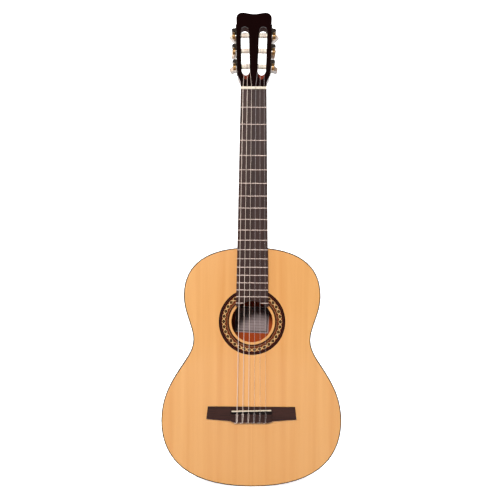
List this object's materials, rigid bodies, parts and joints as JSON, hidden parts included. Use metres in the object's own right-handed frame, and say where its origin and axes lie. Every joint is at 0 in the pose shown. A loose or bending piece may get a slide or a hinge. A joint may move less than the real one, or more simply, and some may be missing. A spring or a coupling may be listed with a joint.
{
  "type": "classical guitar",
  "caption": "Classical guitar with a spruce top, mosaic rosette, slotted head and worm-geared tuning machines with cream buttons",
  "frame": {"origin": "on the centre line in the plane of the soundboard's front face, level with the head's shoulders, where a hanger's yoke holds the guitar", "axes": "+Z along the strings towards the head, +Y from the front to the back, +X to the treble side"},
  "size_m": [0.366, 0.1137, 0.972],
  "materials": {
    "spruce": "gloss lacquer over fine straight grain",
    "rosette_wood": "inlaid mosaic under lacquer",
    "binding_wood": "dark, lacquered",
    "mahogany": "gloss lacquer",
    "light_wood": "bare",
    "dark_veneer": "high gloss lacquer",
    "rosewood": "oiled, open pores",
    "label_paper": "matte with a printed border",
    "ivory_bone": "polished",
    "nickel": "polished",
    "dark_steel": "dark, satin",
    "screw_steel": "satin",
    "clear_nylon": "clear, smooth",
    "wound_silver": "fine winding",
    "roller_cream": "smooth",
    "gear_brass": "satin",
    "worm_steel": "satin",
    "pearl_plastic": "pearl swirl"
  },
  "bodies": {
    "guitar": {"soundboard": "spruce", "rosette": "rosette_wood", "bindings": "binding_wood", "side_bass": "mahogany", "side_treble": "mahogany", "back_plate": "mahogany", "linings": "light_wood", "tail_block": "light_wood", "harmonic_bars": "light_wood", "fan_braces": "light_wood", "back_braces": "light_wood", "paper_label": "label_paper", "neck": "mahogany", "heel_cap": "binding_wood", "headstock": "mahogany", "head_veneer": "dark_veneer", "fingerboard": "rosewood", "frets": "nickel", "nut": "ivory_bone", "bridge": "rosewood", "saddle": "ivory_bone", "tuner_plate_bass": "dark_steel", "tuner_plate_treble": "dark_steel", "tuner_screws": "screw_steel", "string_1": "clear_nylon", "string_2": "clear_nylon", "string_3": "clear_nylon", "string_4": "wound_silver", "string_5": "wound_silver", "string_6": "wound_silver"},
    "roller_body_1": {"roller_1": "roller_cream", "gear_1": "gear_brass", "winding_1": "clear_nylon"},
    "worm_body_1": {"worm_1": "worm_steel", "button_1": "pearl_plastic"},
    "roller_body_2": {"roller_2": "roller_cream", "gear_2": "gear_brass", "winding_2": "clear_nylon"},
    "worm_body_2": {"worm_2": "worm_steel", "button_2": "pearl_plastic"},
    "roller_body_3": {"roller_3": "roller_cream", "gear_3": "gear_brass", "winding_3": "clear_nylon"},
    "worm_body_3": {"worm_3": "worm_steel", "button_3": "pearl_plastic"},
    "roller_body_4": {"roller_4": "roller_cream", "gear_4": "gear_brass", "winding_4": "wound_silver"},
    "worm_body_4": {"worm_4": "worm_steel", "button_4": "pearl_plastic"},
    "roller_body_5": {"roller_5": "roller_cream", "gear_5": "gear_brass", "winding_5": "wound_silver"},
    "worm_body_5": {"worm_5": "worm_steel", "button_5": "pearl_plastic"},
    "roller_body_6": {"roller_6": "roller_cream", "gear_6": "gear_brass", "winding_6": "wound_silver"},
    "worm_body_6": {"worm_6": "worm_steel", "button_6": "pearl_plastic"}
  },
  "joints": [
    {"name": "worm_spin_1", "type": "hinge", "parent": "guitar", "child": "worm_body_1", "pos_m": [0.04, 0.0237, 0.03817], "axis": [0, 0.9659, -0.2588], "continuous": true},
    {"name": "roller_spin_1", "type": "hinge", "parent": "guitar", "child": "roller_body_1", "pos_m": [0.0336, 0.02125, 0.02903], "axis": [0.9995, -0.0081, -0.0303], "continuous": true},
    {"name": "worm_spin_2", "type": "hinge", "parent": "guitar", "child": "worm_body_2", "pos_m": [0.0411, 0.03275, 0.07196], "axis": [0, 0.9659, -0.2588], "continuous": true},
    {"name": "roller_spin_2", "type": "hinge", "parent": "guitar", "child": "roller_body_2", "pos_m": [0.0347, 0.0303, 0.06283], "axis": [0.9995, -0.0081, -0.0303], "continuous": true},
    {"name": "worm_spin_3", "type": "hinge", "parent": "guitar", "child": "worm_body_3", "pos_m": [0.0422, 0.04181, 0.10575], "axis": [0, 0.9659, -0.2588], "continuous": true},
    {"name": "roller_spin_3", "type": "hinge", "parent": "guitar", "child": "roller_body_3", "pos_m": [0.0358, 0.03936, 0.09662], "axis": [0.9995, -0.0081, -0.0303], "continuous": true},
    {"name": "worm_spin_4", "type": "hinge", "parent": "guitar", "child": "worm_body_4", "pos_m": [-0.0422, 0.04181, 0.10575], "axis": [0, 0.9659, -0.2588], "continuous": true},
    {"name": "roller_spin_4", "type": "hinge", "parent": "guitar", "child": "roller_body_4", "pos_m": [-0.0358, 0.03936, 0.09662], "axis": [-0.9995, -0.0081, -0.0303], "continuous": true},
    {"name": "worm_spin_5", "type": "hinge", "parent": "guitar", "child": "worm_body_5", "pos_m": [-0.0411, 0.03275, 0.07196], "axis": [0, 0.9659, -0.2588], "continuous": true},
    {"name": "roller_spin_5", "type": "hinge", "parent": "guitar", "child": "roller_body_5", "pos_m": [-0.0347, 0.0303, 0.06283], "axis": [-0.9995, -0.0081, -0.0303], "continuous": true},
    {"name": "worm_spin_6", "type": "hinge", "parent": "guitar", "child": "worm_body_6", "pos_m": [-0.04, 0.0237, 0.03817], "axis": [0, 0.9659, -0.2588], "continuous": true},
    {"name": "roller_spin_6", "type": "hinge", "parent": "guitar", "child": "roller_body_6", "pos_m": [-0.0336, 0.02125, 0.02903], "axis": [-0.9995, -0.0081, -0.0303], "continuous": true}
  ],
  "couplings": [
    {"joint": "roller_spin_1", "follows": "worm_spin_1", "ratio": 0.071429},
    {"joint": "roller_spin_2", "follows": "worm_spin_2", "ratio": 0.071429},
    {"joint": "roller_spin_3", "follows": "worm_spin_3", "ratio": 0.071429},
    {"joint": "roller_spin_4", "follows": "worm_spin_4", "ratio": -0.071429},
    {"joint": "roller_spin_5", "follows": "worm_spin_5", "ratio": -0.071429},
    {"joint": "roller_spin_6", "follows": "worm_spin_6", "ratio": -0.071429}
  ]
}
